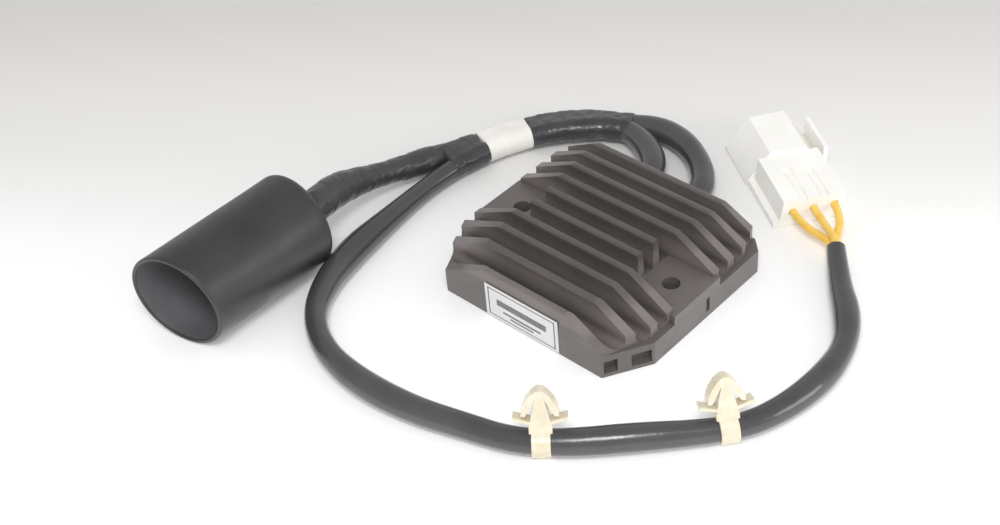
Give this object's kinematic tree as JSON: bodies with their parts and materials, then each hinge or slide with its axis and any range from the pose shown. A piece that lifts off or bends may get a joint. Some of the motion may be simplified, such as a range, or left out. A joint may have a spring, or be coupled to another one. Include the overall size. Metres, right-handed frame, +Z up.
{
  "type": "voltage regulator rectifier",
  "caption": "Finned cast voltage regulator rectifier with mounting lugs, two sleeved leads, a rubber-booted connector and a white wire connector.",
  "frame": {"origin": "middle of the cast housing at the height of its mounting face", "axes": "+X along the cooling fins, +Y towards the side that the leads leave, +Z up from the mounting face"},
  "size_m": [0.213, 0.2388, 0.0382],
  "materials": {
    "cast_body": "satin coated casting",
    "label": "matt film",
    "potting": "cast resin",
    "substrate": "rolled",
    "device": "moulded",
    "board": "laminate",
    "grommet": "moulded",
    "sleeve": "glossy tube",
    "black_tape": "wound tape",
    "white_tape": "wound tape",
    "boot": "glossy rubber",
    "black_connector": "moulded",
    "black_wire": "insulation",
    "terminal": "tinned",
    "white_connector": "moulded",
    "yellow_wire": "insulation",
    "clip": "moulded"
  },
  "bodies": {
    "root": {"binding_tape": "black_tape", "blank_label": "label", "board_spacer": "device", "branch_tape": "black_tape", "control_board": "board", "control_chip": "device", "harness_clip_1": "clip", "harness_clip_2": "clip", "heat_sink_housing": "cast_body", "insulated_substrate": "substrate", "joint_tape": "black_tape", "marker_tape": "white_tape", "output_connector": "black_connector", "output_grommet": "grommet", "output_lead_1": "black_wire", "output_lead_2": "black_wire", "output_lead_3": "black_wire", "output_sleeve": "sleeve", "output_terminal_1": "terminal", "output_terminal_2": "terminal", "output_terminal_3": "terminal", "output_terminal_4": "terminal", "potting_compound": "potting", "rectifier_diode_1": "device", "rectifier_diode_2": "device", "rectifier_diode_3": "device", "rubber_boot": "boot", "stator_connector": "white_connector", "stator_grommet": "grommet", "stator_sleeve": "sleeve", "stator_terminal_1": "terminal", "stator_terminal_2": "terminal", "stator_terminal_3": "terminal", "stator_wire_1": "yellow_wire", "stator_wire_2": "yellow_wire", "stator_wire_3": "yellow_wire", "thyristor_1": "device", "thyristor_2": "device", "thyristor_3": "device"}
  },
  "joints": []
}
